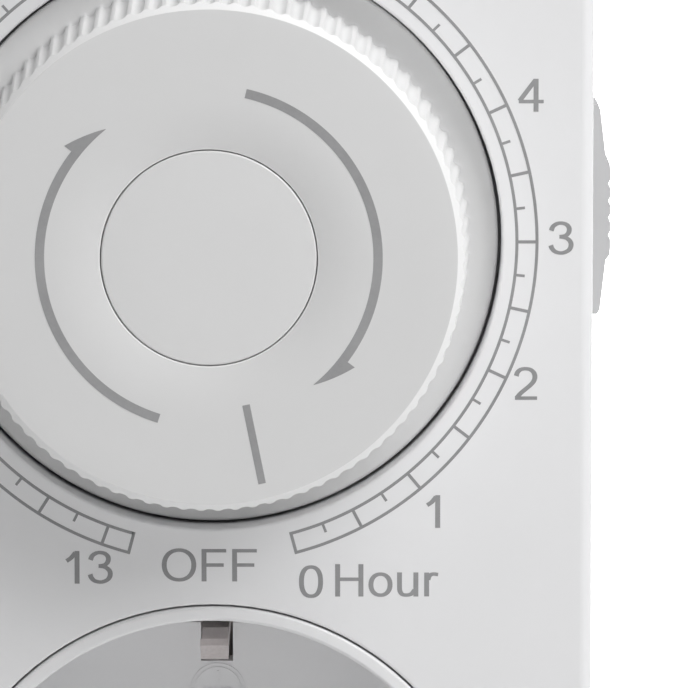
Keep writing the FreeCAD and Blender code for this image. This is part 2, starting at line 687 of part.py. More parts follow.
ax0 = (0.0, P["knob_axis_height"])
R_DIAL = M * P["dial_teeth"] / 2
R_WHEEL = M * P["wheel_teeth"] / 2
R_PINION = M * P["pinion_teeth"] / 2


def step(origin, angle_deg, dist):
    a = math.radians(angle_deg)
    return origin[0] + dist * math.cos(a), origin[1] + dist * math.sin(a)


A2, A1, A0 = 40.0, 150.0, 180.0
ax2 = step(ax0, A2, R_DIAL + R_PINION)
ax1 = step(ax2, A1, R_WHEEL + R_PINION)
axm = step(ax1, A0, R_WHEEL + R_PINION)
rad = math.radians
L1 = (-46.8, -45.2)
L2 = (-44.4, -43.0)
L3 = (-42.2, -40.8)
dial_wheel = gear_bodies("dial_wheel", ax0[0], ax0[1], "dial_teeth", L1[0], L1[1], rad(A2), 2.5)
node("dial_wheel", dial_wheel)
half_pinion = math.pi / P["pinion_teeth"]
pinion_two = gear_bodies("pinion_two", ax2[0], ax2[1], "pinion_teeth", L1[0] - 0.1, L2[0] + 0.0,
                         rad(A2 + 180) + half_pinion, 1.0)
wheel_two = gear_bodies("wheel_two_rim", ax2[0], ax2[1], "wheel_teeth", L2[0], L2[1], rad(A1), 1.0)
node("wheel_two", fuse("wheel_two", pinion_two, wheel_two))
pinion_one = gear_bodies("pinion_one", ax1[0], ax1[1], "pinion_teeth", L2[0] - 0.1, L3[0] + 0.0,
                         rad(A1 + 180) + half_pinion, 1.0)
wheel_one = gear_bodies("wheel_one_rim", ax1[0], ax1[1], "wheel_teeth", L3[0], L3[1], rad(A0), 1.0)
node("wheel_one", fuse("wheel_one", pinion_one, wheel_one))
node("motor_pinion", gear_bodies("motor_pinion", axm[0], axm[1], "pinion_teeth", L3[0] - 0.1, L3[1] + 0.1,
                                 rad(A0 + 180) + half_pinion, 1.0))
fp0 = D("front_plate")
fp1 = D("front_plate") + D("plate_thick")
rp0 = D("rear_plate")
rp1 = D("rear_plate") + D("plate_thick")
for label, (x, z) in (("arbor_two", ax2), ("arbor_one", ax1)):
    node(label, fuse(label,
                     cylinder_y(label + "_bar", x, z, fp1 + 0.2, rp0 - 0.2, D("arbor_radius")),
                     cylinder_y(label + "_pivots", x, z, fp0 + 0.1, rp1 - 0.1, D("pivot_radius"))))
node("motor_output_shaft", cylinder_y("motor_output_shaft", axm[0], axm[1], -43.6, -38.5, D("arbor_radius")))

# ==================================================================== motor
MX, MZ = -12.0, 62.0
can = cylinder_y("motor_drum", MX, MZ, D("motor_back") - D("motor_length"), D("motor_back"), D("motor_radius"))
lug1 = block("motor_lug_a", MX - 13.2, MX + 13.2, -29.5, -28.5, MZ - 3.0, MZ + 3.0)
nose_m = cylinder_y("motor_nose", axm[0], axm[1], -40.4, -39.0, 2.6)
hole_m = cylinder_y("motor_hole", axm[0], axm[1], -40.6, -38.0, 1.05)
node("motor_can", cut("motor_can", fuse("motor_can_body", can, lug1, nose_m), hole_m))
term = fuse("motor_terminals_body",
            block("term_a", MX - 3.0, MX + 3.0, -33.2, -29.8, MZ - P["motor_radius"] - 2.0, MZ - P["motor_radius"] + 0.8),
            block("term_b", -20.4, -16.4, -31.2, -28.6, 50.6, 54.8))
node("motor_terminals", cut("motor_terminals", term, cylinder_y("motor_drum_cut", MX, MZ,
     D("motor_back") - D("motor_length") - 1.0, D("motor_back") + 1.0, D("motor_radius"))))

# ================================================================ dial shaft
shaft_body = fuse("dial_shaft_solid",
                  cylinder_y("shaft_bar", 0, axis_z, -62.0, rp0 - 0.3, D("shaft_radius")),
                  cylinder_y("shaft_end", 0, axis_z, rp0 - 0.4, rp1 - 0.1, D("shaft_journal")))
# the front end is bored for the knob's screw
node("dial_shaft", cut("dial_shaft_bored", shaft_body, cylinder_y("shaft_thread", 0, axis_z, -62.5, -56.5, 1.2)))
node("dial_bush", cut("dial_bush",
                      fuse("bush_body", cylinder_y("bush_flange", 0, axis_z, fp0 - 1.0, fp0, 5.2),
                           cylinder_y("bush_barrel", 0, axis_z, fp0 - 0.5, fp1, 4.0)),
                      cylinder_y("bush_hole", 0, axis_z, fp0 - 2.0, fp1 + 1.0, D("bush_bore"))))
node("dial_circlip", cut("dial_circlip", cylinder_y("clip_disc", 0, axis_z, -47.35, -46.95, 4.2),
                         cylinder_y("clip_hole", 0, axis_z, -48.0, -46.0, D("shaft_radius")),
                         block("clip_gap", -1.2, 1.2, -48.0, -46.0, axis_z - 6.0, axis_z - 1.0)))
# the cam that trips the switch lever: a disc with one notch, at the bottom in the OFF position
cam = cut("dial_cam", cylinder_y("cam_disc", 0, axis_z, D("cam_back") - D("cam_thick"), D("cam_back"), D("cam_radius")),
          cylinder_y("cam_hole", 0, axis_z, -30.0, -24.0, D("shaft_radius")),
          block("cam_notch", -2.6, 2.6, -30.0, -24.0, axis_z - 13.0, axis_z - 10.8))
node("dial_cam", cam)
# one-way clutch spring between the wheel and the shaft
arms = [cylinder_y("clutch_hub", 0, axis_z, -45.15, -44.85, 4.6)]
for k in range(3):
    a = block("clutch_arm%d" % k, 0.0, 10.5, -45.15, -44.85, -1.1, 1.1)
    a.Placement = FreeCAD.Placement(V(0, -45.15, P["knob_axis_height"]), FreeCAD.Rotation(V(0, 1, 0), 120.0 * k))
    for prop in ("Placement.Base.x", "Placement.Base.y", "Placement.Base.z"):
        a.setExpression(prop, None)
    # the arm is centred on its own radius
    a.Placement = FreeCAD.Placement(
        V(0, -45.15, P["knob_axis_height"]) + FreeCAD.Rotation(V(0, 1, 0), 120.0 * k).multVec(V(0, 0, -1.1)),
        FreeCAD.Rotation(V(0, 1, 0), 120.0 * k))
    arms.append(a)
node("clutch_spring", cut("clutch_spring", fuse("clutch_body", *arms),
                          cylinder_y("clutch_hole", 0, axis_z, -46.0, -44.0, D("shaft_radius"))))

# ===================================================================== knob
b = new_body("knob")
# the skirt and the fluted body come from one turned profile, as a half section
sk = b.newObject("Sketcher::SketchObject", "KnobSection")
sk.AttachmentSupport = [(plane_of(b, "YZ_Plane"), "")]
sk.MapMode = "FlatFace"
ft, kf = D("flange_top"), D("knob_face")
fb = ft + D("flange_thick")
sh = D("knob_shell")
hub = D("knob_hub")
capr = D("cap_radius") + D("cap_seam")
prof = [
    (kf, capr), (kf, D("knob_face_radius")), (ft, D("knob_base_radius")),
    (ft, D("flange_radius")), (fb, D("flange_radius")), (fb, D("knob_base_radius") - sh - 0.2),
    (kf + sh + 0.6, D("knob_face_radius") - sh), (kf + sh + 0.6, hub), (dim(-51.4), hub),
    (dim(-51.4), D("shaft_radius")), (dim(-62.0), D("shaft_radius")), (dim(-62.0), dim(1.4)),
    (dim(-63.2), dim(1.4)), (dim(-63.2), dim(3.2)), (kf + D("cap_thick"), dim(3.2)),
    (kf + D("cap_thick"), capr),
]
add_poly(sk, [(y, r) for y, r in prof])
rev = b.newObject("PartDesign::Revolution", "KnobTurned")
rev.Profile = sk
rev.ReferenceAxis = (plane_of(b, "Y_Axis"), [""])
rev.Angle = 360
doc.recompute()
dress(b, "Fillet", D("knob_bevel"),
      lambda e: abs(box_y(e)[0] - P["knob_face"]) < 1e-4 and abs(box_y(e)[1] - P["knob_face"]) < 1e-4
      and e.Curve.TypeId == "Part::GeomCircle" and abs(e.Curve.Radius - P["knob_face_radius"]) < 0.01, "KnobEdge")
dress(b, "Fillet", 0.2,
      lambda e: abs(box_y(e)[0] - P["flange_top"]) < 1e-4 and e.Curve.TypeId == "Part::GeomCircle"
      and abs(e.Curve.Radius - P["flange_radius"]) < 0.01, "SkirtEdge")
# each flute is a round channel that leans in with the knob's taper and stops under the face
lean = (D("knob_base_radius") - D("knob_face_radius")) / (ft - kf)
low = sketch(b, "FluteLow", ft - 0.001)
add_circle(low, 0, -(D("knob_base_radius") + D("flute_offset")), D("flute_radius"))
high = sketch(b, "FluteHigh", kf + D("knob_bevel"))
add_circle(high, 0, -(D("knob_face_radius") + lean * D("knob_bevel") + D("flute_offset")), D("flute_radius"))
fl = b.newObject("PartDesign::SubtractiveLoft", "FluteLoft")
fl.Profile = low
fl.Sections = [high]
fl.Ruled = True
checked_cut(b, fl)
pol = b.newObject("PartDesign::PolarPattern", "Flutes")
pol.Originals = [fl]
pol.Axis = (plane_of(b, "Y_Axis"), [""])
pol.Angle = 360
pol.Occurrences = int(P["flute_count"])
bind(pol, "Occurrences", D("flute_count"))
b.Tip = pol
doc.recompute()
b.Placement = FreeCAD.Placement(V(0, 0, P["knob_axis_height"]), FreeCAD.Rotation())
bind(b, "Placement.Base.z", axis_z)
node("knob", b)
node("knob_cap", fuse("knob_cap",
                      cylinder_y("cap_disc", 0, axis_z, kf - 0.02, kf + D("cap_thick") - 0.02, D("cap_radius")),
                      cut("cap_ring", cylinder_y("cap_boss", 0, axis_z, kf + 1.0, kf + 2.4, 3.1),
                          cylinder_y("cap_boss_hole", 0, axis_z, kf + 1.0, kf + 4.0, 2.5))))
node("knob_screw", fuse("knob_screw", cylinder_y("ks_head", 0, axis_z, -64.1, -63.2, 2.3),
                        cylinder_y("ks_shank", 0, axis_z, -63.5, -57.0, 1.15)))

# ========================================================= movement frame
PLATE = [(-24.0, 31.0), (24.0, 31.0), (24.0, 68.5), (17.5, 77.5), (-17.5, 77.5), (-24.0, 68.5)]


def plate(label, y_front, holes, inset=0.0):
    b = new_body(label)
    sk = sketch(b, label + "_outline", y_front)
    add_poly(sk, [(x, z) for x, z in PLATE])
    pad(b, sk, D("plate_thick"), towards_wall=True, name=label + "_pad")
    sk = sketch(b, label + "_holes", y_front - 0.5)
    for x, z, r in holes:
        add_circle(sk, x, z, r)
    checked_cut(b, pocket(b, sk, D("plate_thick") + 1.0, towards_wall=True, name=label + "_pocket"))
    return b


pivots = [(ax1[0], ax1[1], D("pivot_hole")), (ax2[0], ax2[1], D("pivot_hole"))]
stand_holes = [(x, z, D("pillar_bore")) for x, z in STAND]
node("movement_front_plate", plate("movement_front_plate", D("front_plate"),
                                   [(0, axis_z, 4.0)] + pivots + stand_holes))
rear_plate = plate("movement_rear_plate_blank", D("rear_plate"),
                   [(0, axis_z, D("shaft_journal") + 0.05)] + pivots + stand_holes)
# the lever's pin stands in the rear plate
node("movement_rear_plate", cut("movement_rear_plate", rear_plate,
                                cylinder_y("lever_pin_seat", LEVER_X, LEVER_Z, -24.0, -20.0, 1.0)))
node("lever_pin", fuse("lever_pin", cylinder_y("lever_pin_bar", LEVER_X, LEVER_Z, -29.2, -22.0, 1.0),
                       cylinder_y("lever_pin_head", LEVER_X, LEVER_Z, -29.8, -28.2, 1.8)))

pill, scr = [], []
for k, (x, z) in enumerate(STAND):
    pill.append(cut("pillar_%d" % k, cylinder_y("pillar_bar_%d" % k, x, z, fp1, rp0, D("pillar_radius")),
                    cylinder_y("pillar_hole_%d" % k, x, z, -49.0, -20.0, D("pillar_bore"))))
    scr.append(fuse("mscrew_%d" % k, cylinder_y("mscrew_bar_%d" % k, x, z, -52.5, rp1, 0.9),
                    cylinder_y("mscrew_head_%d" % k, x, z, rp1, rp1 + 1.2, 1.9)))
node("movement_pillars", group("movement_pillars", *pill))
node("movement_screws", group("movement_screws", *scr))
cs = []
for k, (x, z) in enumerate(BOSSES):
    head = cylinder_y("cscrew_head_%d" % k, x, z, -23.0, -20.8, 2.3)
    bar = cylinder_y("cscrew_bar_%d" % k, x, z, -41.0, -22.5, 1.08)
    s1 = block("cscrew_slot_%d" % k, x - 1.5, x + 1.5, -21.8, -20.0, z - 0.3, z + 0.3)
    s2 = block("cscrew_slotb_%d" % k, x - 0.3, x + 0.3, -21.8, -20.0, z - 1.5, z + 1.5)
    cs.append(cut("cscrew_%d" % k, fuse("cscrew_body_%d" % k, head, bar), s1, s2))
node("case_screws", group("case_screws", *cs))

# ========================================================= override slide switch
bc, bd, bh = D("button_centre"), D("button_depth"), D("button_height")
hl, hw = D("button_length") / 2, D("button_width") / 2
side = half_w + 0.15
b = new_body("override_button")
sk = sketch(b, "ButtonProfile", bd - hw)
prof = [(side, bc - hl), (side + 0.8, bc - hl), (side + 1.0, bc - hl + 0.35), (bh - 0.35, bc - 3.9),
        (bh - 0.05, bc - 3.5)]
n_rib, pitch = 5, 1.33
for k in range(n_rib):
    zc = (k - 2) * pitch
    prof += [(bh, bc + zc - 0.33), (bh, bc + zc + 0.33)]
    if k < n_rib - 1:
        prof.append((bh - 0.22, bc + zc + pitch / 2))
prof += [(bh - 0.05, bc + 3.5), (bh - 0.35, bc + 3.9), (side + 1.0, bc + hl - 0.35), (side + 0.8, bc + hl), (side, bc + hl)]
add_poly(sk, prof)
pad(b, sk, 2 * hw, towards_wall=True, name="ButtonPad")
# the neck through the case wall
sk = sketch(b, "ButtonNeck", bd - 1.4)
add_rect(sk, half_w - wall - 0.3, bc - 2.8, side + 0.3, bc + 2.8)
pad(b, sk, 2.8, towards_wall=True, name="ButtonNeckPad")
node("override_button", b)
carriage = block("carriage_block", 24.4, half_w - wall - 0.3, bd - 3.0, bd + 3.0, bc - 4.6, bc + 6.6)
notch1 = block("carriage_notch1", 24.0, 24.9, bd - 4.0, bd + 4.0, bc + 0.6, bc + 1.8)
notch2 = block("carriage_notch2", 24.0, 24.9, bd - 4.0, bd + 4.0, bc + 4.6, bc + 5.8)
arm = block("carriage_arm", 24.6, 25.8, -32.9, -30.4, 32.6, bc - 3.0)
node("slider_carriage", cut("slider_carriage", fuse("carriage_body", carriage, arm), notch1, notch2))
leaf = block("detent_leaf", 23.3, 23.7, -37.4, -34.0, 38.8, 62.4)
bump = block("detent_bump", 23.6, 24.2, -37.4, -34.0, bc + 0.8, bc + 1.6)
node("detent_spring", fuse("detent_spring", leaf, bump))

# ============================================================== motor leads
def lead(label, pts, y, r, fillets):
    """A wire in the plane y: straight runs joined by tangent arcs."""
    pts = [V(x, y, z) for x, z in pts]
    edges = []
    cur = pts[0]
    for k in range(1, len(pts) - 1):
        a, p, c = pts[k - 1], pts[k], pts[k + 1]
        u = (a - p).normalize()
        w = (c - p).normalize()
        turn = math.pi - u.getAngle(w)
        t = fillets * math.tan(turn / 2)
        s0, s1 = p + u * t, p + w * t
        mid_dir = (u + w).normalize()
        centre = p + mid_dir * (fillets / math.cos(turn / 2))
        mid = centre - mid_dir * fillets
        edges.append(Part.LineSegment(cur, s0).toShape())
        edges.append(Part.Arc(s0, mid, s1).toShape())
        cur = s1
    edges.append(Part.LineSegment(cur, pts[-1]).toShape())
    wire = Part.Wire(edges)
    start = pts[0]
    along = (pts[1] - pts[0]).normalize()
    ring = Part.Wire(Part.makeCircle(r, start, along))
    tube = wire.makePipeShell([ring], True, True)
    o = doc.addObject("Part::Feature", label)
    o.Shape = tube
    print("%s: length %.1f mm, volume %.2f, section times length %.2f" % (
        label, wire.Length, tube.Volume, math.pi * r * r * wire.Length))
    return o


node("motor_lead_neutral", lead("motor_lead_neutral", [(-18.4, 50.6), (-18.4, 46.4), (-23.6, 40.0), (-23.6, 16.0), (-14.0, 10.0),
                                                       (-14.0, 6.0)], -29.9, 0.6, 2.4))
node("motor_lead_line", lead("motor_lead_line", [(-12.0, 49.0), (-12.0, 42.2), (16.0, 40.4), (16.0, 21.0)],
                             -31.5, 0.6, 2.4))

# ------------------------------------------------------------------- checks
doc.recompute()
bad = [o.Name for o in doc.Objects if "Invalid" in o.State or "Error" in o.State]
if bad:
    raise RuntimeError("objects failed: " + ", ".join(bad))
for name, obj in NODES.items():
    s = obj.Shape
    if s.isNull() or not s.isValid():
        raise RuntimeError("bad shape: " + name)
    if s.Volume <= 0.01:
        raise RuntimeError("no volume: " + name)
for name, obj in NODES.items():
    s = obj.Shape
    s.exportStep("parts/%s.step" % name)
    print("%-24s solids %d  volume %9.2f  box %s" % (
        name, len(s.Solids), s.Volume,
        " ".join("%.2f" % q for q in (s.BoundBox.XMin, s.BoundBox.YMin, s.BoundBox.ZMin,
                                      s.BoundBox.XMax, s.BoundBox.YMax, s.BoundBox.ZMax))))
print("nodes:", len(NODES))
for label, a in (("dial", ax0), ("two", ax2), ("one", ax1), ("motor", axm)):
    print("axis", label, "%.4f %.4f" % a)
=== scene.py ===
import json
import math

import bmesh
import bpy
from mathutils import Matrix, Vector


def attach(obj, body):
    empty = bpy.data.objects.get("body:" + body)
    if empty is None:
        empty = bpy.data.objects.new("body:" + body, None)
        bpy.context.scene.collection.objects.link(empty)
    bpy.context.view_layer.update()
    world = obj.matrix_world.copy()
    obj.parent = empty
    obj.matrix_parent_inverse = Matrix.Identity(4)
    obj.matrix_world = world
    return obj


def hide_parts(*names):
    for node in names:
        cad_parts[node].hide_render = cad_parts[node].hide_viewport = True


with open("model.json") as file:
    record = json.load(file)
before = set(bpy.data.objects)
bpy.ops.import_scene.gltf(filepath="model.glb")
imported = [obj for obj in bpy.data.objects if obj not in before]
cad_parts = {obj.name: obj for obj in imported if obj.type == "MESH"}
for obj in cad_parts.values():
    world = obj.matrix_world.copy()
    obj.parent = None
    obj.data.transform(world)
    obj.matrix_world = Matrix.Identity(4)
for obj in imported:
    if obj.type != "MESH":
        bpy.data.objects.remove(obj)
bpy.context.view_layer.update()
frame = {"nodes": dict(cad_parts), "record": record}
nodes = frame["nodes"]

MM = 0.001
AXIS_Z = 48.7          # height of the knob axis
PANEL = -56.0          # front panel plane
KNOB_FACE = -66.7
SKIRT_TOP = -53.5
SOCKET_FLOOR = -38.5

# ---------------------------------------------------------------- camera
scene = bpy.context.scene
cam_data = bpy.data.cameras.new("photo_camera")
cam = bpy.data.objects.new("photo_camera", cam_data)
scene.collection.objects.link(cam)
cam.location = (9.8 * MM, -556.0 * MM, 104.8 * MM)
cam.rotation_euler = (math.radians(90.0 - 7.27), 0.0, math.radians(-0.01))
cam_data.sensor_width = 36.0
cam_data.sensor_fit = "HORIZONTAL"
cam_data.lens = 6737.0 / 688.0 * 36.0
cam_data.clip_start = 0.02
cam_data.clip_end = 20.0
scene.camera = cam
scene.view_settings.view_transform = "Standard"
scene.view_settings.look = "None"
scene.view_settings.exposure = 0.0
scene.view_settings.gamma = 1.0


# ---------------------------------------------------------------- materials
def lin(v):
    """One display value of 0 to 255 as linear light."""
    c = v / 255.0
    return c / 12.92 if c <= 0.04045 else ((c + 0.055) / 1.055) ** 2.4


def rgb(r, g=None, b=None):
    if g is None:
        g = b = r
    return (lin(r), lin(g), lin(b), 1.0)


class Shader:
    """A node material on the Principled shader, in the object's own coordinates in metres."""

    def __init__(self, name):
        self.mat = bpy.data.materials.new(name)
        self.mat.use_nodes = True
        self.tree = self.mat.node_tree
        self.tree.nodes.clear()
        self.out = self.tree.nodes.new("ShaderNodeOutputMaterial")
        self.bsdf = self.tree.nodes.new("ShaderNodeBsdfPrincipled")
        self.tree.links.new(self.bsdf.outputs[0], self.out.inputs[0])
        self.coord = self.tree.nodes.new("ShaderNodeTexCoord")

    def set(self, socket, value):
        self.bsdf.inputs[socket].default_value = value
        return self

    def noise(self, scale, detail=3.0, rough=0.55, stretch=None, distortion=0.0):
        n = self.tree.nodes.new("ShaderNodeTexNoise")
        n.inputs["Scale"].default_value = scale
        n.inputs["Detail"].default_value = detail
        n.inputs["Roughness"].default_value = rough
        n.inputs["Distortion"].default_value = distortion
        src = self.coord.outputs["Object"]
        if stretch:
            m = self.tree.nodes.new("ShaderNodeMapping")
            m.inputs["Scale"].default_value = stretch
            self.tree.links.new(src, m.inputs["Vector"])
            src = m.outputs["Vector"]
        self.tree.links.new(src, n.inputs["Vector"])
        return n.outputs["Fac"]

    def ramp(self, fac, stops):
        r = self.tree.nodes.new("ShaderNodeValToRGB")
        el = r.color_ramp.elements
        while len(el) < len(stops):
            el.new(0.5)
        for e, (p, c) in zip(el, stops):
            e.position = p
            e.color = c
        self.tree.links.new(fac, r.inputs["Fac"])
        return r.outputs["Color"]

    def span(self, fac, lo, hi, flo=0.0, fhi=1.0):
        m = self.tree.nodes.new("ShaderNodeMapRange")
        m.inputs["From Min"].default_value = flo
        m.inputs["From Max"].default_value = fhi
        m.inputs["To Min"].default_value = lo
        m.inputs["To Max"].default_value = hi
        self.tree.links.new(fac, m.inputs["Value"])
        return m.outputs["Result"]

    def specks(self, scale, size, keep):
        """1 inside small sparse dots, 0 elsewhere: one dot in each kept cell."""
        v = self.tree.nodes.new("ShaderNodeTexVoronoi")
        v.inputs["Scale"].default_value = scale
        self.tree.links.new(self.coord.outputs["Object"], v.inputs["Vector"])
        dot = self.tree.nodes.new("ShaderNodeMath")
        dot.operation = "LESS_THAN"
        dot.inputs[1].default_value = size
        self.tree.links.new(v.outputs["Distance"], dot.inputs[0])
        sep = self.tree.nodes.new("ShaderNodeSeparateColor")
        self.tree.links.new(v.outputs["Color"], sep.inputs["Color"])
        pick = self.tree.nodes.new("ShaderNodeMath")
        pick.operation = "LESS_THAN"
        pick.inputs[1].default_value = keep
        self.tree.links.new(sep.outputs["Red"], pick.inputs[0])
        both = self.tree.nodes.new("ShaderNodeMath")
        both.operation = "MULTIPLY"
        self.tree.links.new(dot.outputs[0], both.inputs[0])
        self.tree.links.new(pick.outputs[0], both.inputs[1])
        return both.outputs[0]

    def band(self, at, half):
        """1 within half of the plane y = at, 0 elsewhere."""
        sep = self.tree.nodes.new("ShaderNodeSeparateXYZ")
        self.tree.links.new(self.coord.outputs["Object"], sep.inputs[0])
        m = self.tree.nodes.new("ShaderNodeMath")
        m.operation = "COMPARE"
        m.inputs[1].default_value = at
        m.inputs[2].default_value = half
        self.tree.links.new(sep.outputs["Y"], m.inputs[0])
        return m.outputs[0]

    def mix(self, fac, a, b):
        m = self.tree.nodes.new("ShaderNodeMix")
        m.data_type = "RGBA"
        if isinstance(fac, float):
            m.inputs["Factor"].default_value = fac
        else:
            self.tree.links.new(fac, m.inputs["Factor"])
        for key, val in (("A", a), ("B", b)):
            sock = [s for s in m.inputs if s.name == key and s.type == "RGBA"][0]
            if isinstance(val, tuple):
                sock.default_value = val
            else:
                self.tree.links.new(val, sock)
        return [s for s in m.outputs if s.type == "RGBA"][0]

    def color(self, out):
        self.tree.links.new(out, self.bsdf.inputs["Base Color"])
        return self

    def roughness(self, out):
        self.tree.links.new(out, self.bsdf.inputs["Roughness"])
        return self

    def bump(self, layers):
        """layers: (height output, strength, distance in metres)."""
        last = None
        for h, strength, dist in layers:
            b = self.tree.nodes.new("ShaderNodeBump")
            b.inputs["Strength"].default_value = strength
            b.inputs["Distance"].default_value = dist
            self.tree.links.new(h, b.inputs["Height"])
            if last:
                self.tree.links.new(last, b.inputs["Normal"])
            last = b.outputs["Normal"]
        self.tree.links.new(last, self.bsdf.inputs["Normal"])
        return self


def shade(c, k):
    return (c[0] * k, c[1] * k, c[2] * k, 1.0)


def plastic(name, base, rough=0.42, grain=9000.0, depth=1.2e-6, flow=0.012, specks=0.0, spec=0.45, coat=0.0,
            seam=None):
    """Moulded plastic: a fine spark grain, slow drifts of tone from the flow of the melt, and a few inclusions."""
    s = Shader(name)
    drift = s.noise(55.0, 2.0, 0.5)
    fine = s.noise(grain, 4.0, 0.6)
    tone = s.ramp(drift, [(0.25, shade(base, 1.0 - flow)), (0.75, shade(base, 1.0 + flow))])
    tone = s.mix(s.span(fine, 0.0, 0.05, 0.3, 0.7), tone, shade(base, 0.90))
    if specks:
        tone = s.mix(s.span(s.specks(230.0, 0.026, specks), 0.0, 0.5), tone, shade(base, 0.45))
    if seam is not None:
        # the shadow in the joint between the two covers
        tone = s.mix(s.span(s.band(seam, 1.2e-4), 0.0, 0.75), tone, shade(base, 0.25))
    s.color(tone)
    s.roughness(s.span(s.noise(grain * 0.35, 3.0, 0.5), rough - 0.04, rough + 0.05, 0.3, 0.7))
    s.bump([(fine, 0.55, depth), (s.noise(420.0, 2.0, 0.5), 0.35, 2.0e-6)])
    s.set("Specular IOR Level", spec)
    if coat:
        s.set("Coat Weight", coat)
        s.set("Coat Roughness", 0.12)
    return s.mat


def metal(name, base, rough=0.25, brush=None, worn=None, depth=1.0e-6):
    """Metal: a rolled or turned grain, and a slightly duller film in patches."""
    s = Shader(name)
    film = s.noise(160.0, 4.0, 0.6)
    grain = s.noise(3200.0, 4.0, 0.6, stretch=brush)
    dull = worn or shade(base, 0.82)
    tone = s.ramp(film, [(0.30, dull), (0.62, base)])
    tone = s.mix(s.span(grain, 0.0, 0.22, 0.3, 0.7), tone, shade(base, 0.72))
    s.color(tone)
    s.roughness(s.span(grain, rough - 0.07, rough + 0.10, 0.3, 0.7))
    s.bump([(grain, 0.5, depth)])
    s.set("Metallic", 1.0)
    return s.mat


def insulation(name, base):
    s = Shader(name)
    drift = s.noise(300.0, 3.0, 0.55)
    s.color(s.ramp(drift, [(0.3, shade(base, 0.85)), (0.7, shade(base, 1.12))]))
    s.roughness(s.span(drift, 0.36, 0.48, 0.3, 0.7))
    s.bump([(s.noise(5200.0, 3.0), 0.4, 1.5e-6)])
    return s.mat


def ink(name, base, rough=0.5):
    """Pad printed ink: a slightly uneven film, thinner in places, with a ragged grain."""
    s = Shader(name)
    cover = s.noise(2600.0, 4.0, 0.65)
    pool = s.noise(240.0, 2.0, 0.5)
    tone = s.ramp(pool, [(0.3, shade(base, 0.93)), (0.7, shade(base, 1.08))])
    tone = s.mix(s.span(cover, 0.0, 0.16, 0.35, 0.75), tone, shade(base, 1.55))
    s.color(tone)
    s.roughness(s.span(cover, rough - 0.06, rough + 0.08, 0.3, 0.7))
    s.bump([(cover, 0.35, 1.0e-6)])
    return s.mat


M = {
    "case": plastic("case_plastic", rgb(232, 232, 233), rough=0.44, specks=0.16, seam=-0.029),
    "socket": plastic("socket_plastic", rgb(234, 234, 235), rough=0.34, specks=0.10),
    "knob": plastic("knob_plastic", rgb(236, 236, 236), rough=0.38, specks=0.10),
    "knob_cap": plastic("knob_cap_plastic", rgb(222, 222, 222), rough=0.38, specks=0.08),
    "button": plastic("button_plastic", rgb(190, 190, 191), rough=0.40),
    "inner_plastic": plastic("inner_plastic", rgb(236, 232, 218), rough=0.35, flow=0.03),
    "nickel": metal("nickel_plate", rgb(214, 209, 202), rough=0.20, brush=(1.0, 0.12, 1.0)),
    "steel_strip": metal("rolled_strip", rgb(236, 228, 226), rough=0.36, brush=(1.0, 0.10, 1.0)),
    "steel": metal("turned_steel", rgb(188, 188, 190), rough=0.28, brush=(1.0, 6.0, 1.0)),
    "motor_steel": metal("drawn_can_steel", rgb(176, 177, 180), rough=0.34, brush=(1.0, 0.2, 1.0)),
    "brass": metal("stamped_brass", rgb(212, 176, 108), rough=0.28, brush=(1.0, 0.2, 1.0),
                   worn=rgb(176, 138, 84)),
    "silver_contact": metal("contact_silver", rgb(226, 224, 218), rough=0.30),
    "wire_blue": insulation("blue_lead", rgb(52, 92, 160)),
    "wire_brown": insulation("brown_lead", rgb(112, 74, 48)),
}
INK = ink("scale_ink", rgb(144, 144, 145))
# knob face: finer grain and rougher than the knob's sides, and a darker tone that is painted shade, a shaded copy of
# the knob plastic on the same moulding
KNOB_FACE_SHADED = plastic("knob_face_shaded_plastic", rgb(219, 219, 219), rough=0.46, grain=7000.0, specks=0.14)
INK_KNOB = ink("arrow_ink", rgb(152, 152, 153))

slots = {s["node"]: s["material_slot"] for s in frame["record"]["subparts"]}
for name, obj in nodes.items():
    obj.data.materials.clear()
    obj.data.materials.append(M[slots[name]])


# ---------------------------------------------------------------- mesh helpers (millimetres in, metres out)
def make(name, verts, faces, material, body, smooth_angle=35.0):
    mesh = bpy.data.meshes.new(name)
    mesh.from_pydata([tuple(c * MM for c in v) for v in verts], [], faces)
    mesh.validate()
    bm = bmesh.new()
    bm.from_mesh(mesh)
    bmesh.ops.remove_doubles(bm, verts=bm.verts, dist=1e-8)
    bmesh.ops.recalc_face_normals(bm, faces=bm.faces)
    for f in bm.faces:
        f.smooth = True
    lim = math.radians(smooth_angle)
    for e in bm.edges:
        e.smooth = len(e.link_faces) == 2 and e.calc_face_angle(math.pi) < lim
    bm.to_mesh(mesh)
    bm.free()
    obj = bpy.data.objects.new(name, mesh)
    scene.collection.objects.link(obj)
    mesh.materials.append(material)
    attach(obj, body)
    return obj


def lathe(name, profile, material, body, steps=360, angle=35.0, z0=AXIS_Z):
    """A closed profile of (y, r) turned about the knob axis. Points with r = 0 close on the axis."""
    verts, rings = [], []
    for y, r in profile:
        if r < 1e-9:
            rings.append([len(verts)])
            verts.append((0.0, y, z0))
        else:
            rings.append(list(range(len(verts), len(verts) + steps)))
            for k in range(steps):
                a = 2 * math.pi * k / steps
                verts.append((r * math.sin(a), y, z0 + r * math.cos(a)))
    faces = []
    n = len(rings)
    for i in range(n):
        a, b = rings[i], rings[(i + 1) % n]
        if len(a) == 1 and len(b) == 1:
            continue
        for k in range(steps):
            k2 = (k + 1) % steps
            if len(a) == 1:
                faces.append((a[0], b[k], b[k2]))
            elif len(b) == 1:
                faces.append((a[k], b[0], a[k2]))
            else:
                faces.append((a[k], b[k], b[k2], a[k2]))
    return make(name, verts, faces, material, body, angle)


def arc_points(cy, cr, r, a0, a1, n):
    """Points of a circle arc in the (y, r) half plane; angle 0 points out along r, 90 points to the front."""
    out = []
    for k in range(n + 1):
        a = math.radians(a0 + (a1 - a0) * k / n)
        out.append((cy - r * math.sin(a), cr + r * math.cos(a)))
    return out


